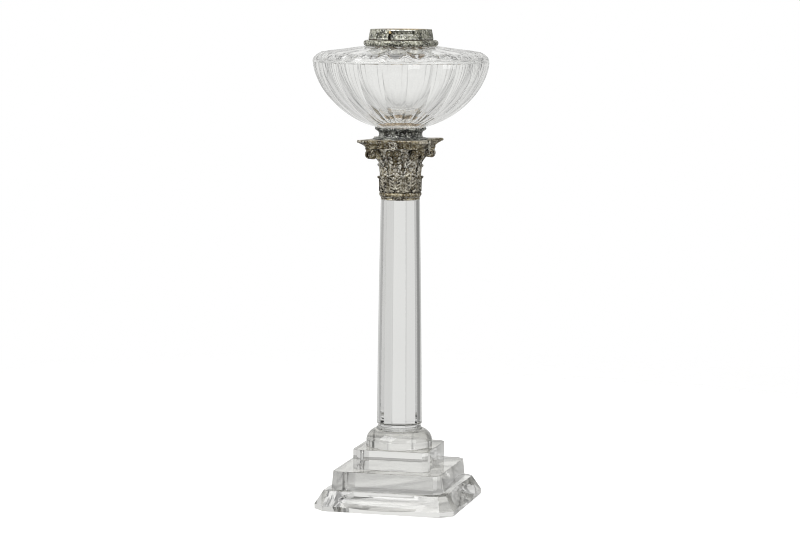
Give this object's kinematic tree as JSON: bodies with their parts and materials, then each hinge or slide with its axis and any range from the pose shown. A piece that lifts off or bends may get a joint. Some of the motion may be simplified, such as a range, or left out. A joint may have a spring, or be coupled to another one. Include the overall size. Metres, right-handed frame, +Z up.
{
  "type": "oil lamp",
  "caption": "Column oil lamp stand: hollow cut-glass font that unscrews from a Corinthian capital, with a bayonet burner ring, on a faceted glass column and stepped base.",
  "frame": {"origin": "centre of the base's underside, on the surface that the lamp stands on", "axes": "+Z up along the column; the square base's sides face +X, -X, +Y and -Y, and the bayonet slot's entry faces -Y"},
  "size_m": [0.176, 0.176, 0.4762],
  "materials": {
    "base_glass": "polished clear lead glass",
    "column_glass": "polished clear lead glass, flat-cut facets",
    "font_glass": "polished clear cut glass",
    "clear_cement": "thin clear cement",
    "plaster": "matt plaster of Paris, stained",
    "plated_metal": "worn silver plate, tarnished olive-grey",
    "capital_metal": "cast, worn silver plate with dark recesses",
    "bare_brass": "dull aged brass",
    "washer_leather": "oiled leather"
  },
  "bodies": {
    "stand": {"foot": "base_glass", "lower_plinth": "base_glass", "upper_plinth": "base_glass", "round_tier": "base_glass", "column": "column_glass", "glass_cement": "clear_cement", "column_plaster": "plaster", "ferrule": "plated_metal", "astragal": "plated_metal", "capital_bell": "capital_metal", "lower_leaves": "capital_metal", "upper_leaves": "capital_metal", "helices": "capital_metal", "corner_volutes": "capital_metal", "fleurons": "capital_metal", "abacus": "capital_metal", "font_socket": "bare_brass"},
    "seat": {"seat_ring": "plated_metal"},
    "font": {"undermount": "plated_metal", "undermount_plaster": "plaster", "font": "font_glass", "collar_plaster": "plaster", "burner_collar": "plated_metal", "bayonet_pins": "bare_brass"},
    "washer": {"packing_washer": "washer_leather"},
    "ring": {"bayonet_ring": "plated_metal", "burner_sleeve": "bare_brass"}
  },
  "joints": [
    {"name": "font_unscrew", "type": "hinge", "parent": "stand", "child": "seat", "pos_m": [0, 0, 0.367], "axis": [0, 0, 1], "range_deg": [0, 1080]},
    {"name": "font_rise", "type": "slide", "parent": "seat", "child": "font", "axis": [0, 0, 1], "range_m": [0, 0.0121]},
    {"name": "ring_twist", "type": "hinge", "parent": "font", "child": "washer", "pos_m": [0, 0, 0.4654], "axis": [0, 0, 1], "range_deg": [-42, 0]},
    {"name": "ring_lift", "type": "slide", "parent": "washer", "child": "ring", "axis": [0, 0, 1], "range_m": [0, 0.014]}
  ],
  "couplings": [
    {"joint": "font_rise", "follows": "font_unscrew", "m_per_rad": 0.00063662}
  ]
}
